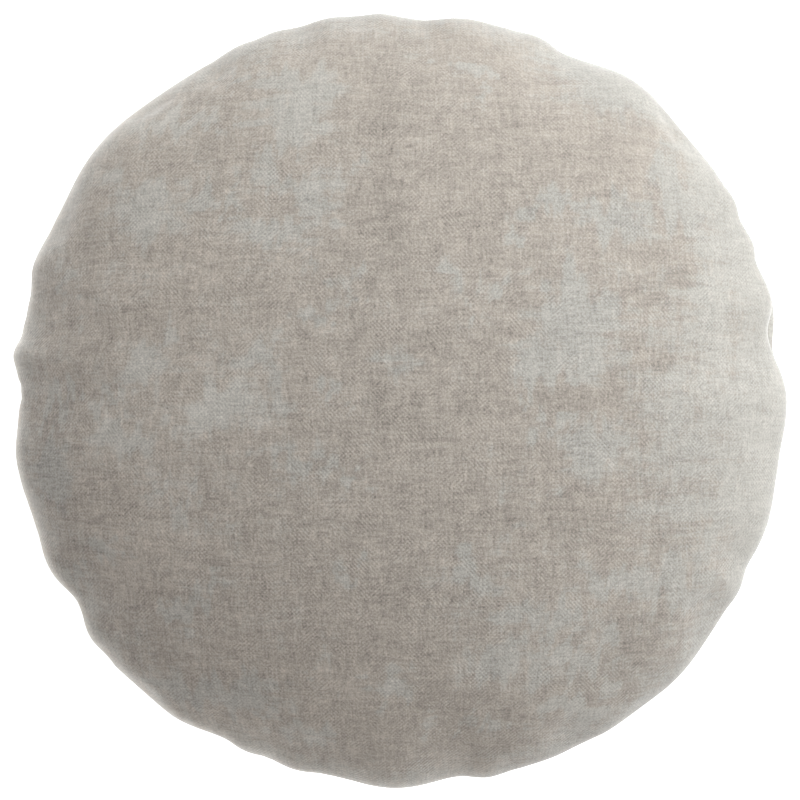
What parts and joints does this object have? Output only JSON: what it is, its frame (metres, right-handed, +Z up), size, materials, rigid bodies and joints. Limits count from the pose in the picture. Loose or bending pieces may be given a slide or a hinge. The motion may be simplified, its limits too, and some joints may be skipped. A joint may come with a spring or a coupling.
{
  "type": "round cushion",
  "caption": "Round scatter cushion, filled, with a gathered knife-edge seam, in mottled grey-beige upholstery cloth",
  "frame": {"origin": "On the surface that the cushion lies on, under the middle of its outline", "axes": "+Z is up, out of the face; +Y is the face's own top; +X is the face's right side"},
  "size_m": [0.45, 0.4496, 0.175],
  "materials": {
    "cloth": "matt chenille-look weave with a pale brushed nap"
  },
  "bodies": {
    "root": {"cushion": "cloth"}
  },
  "joints": []
}
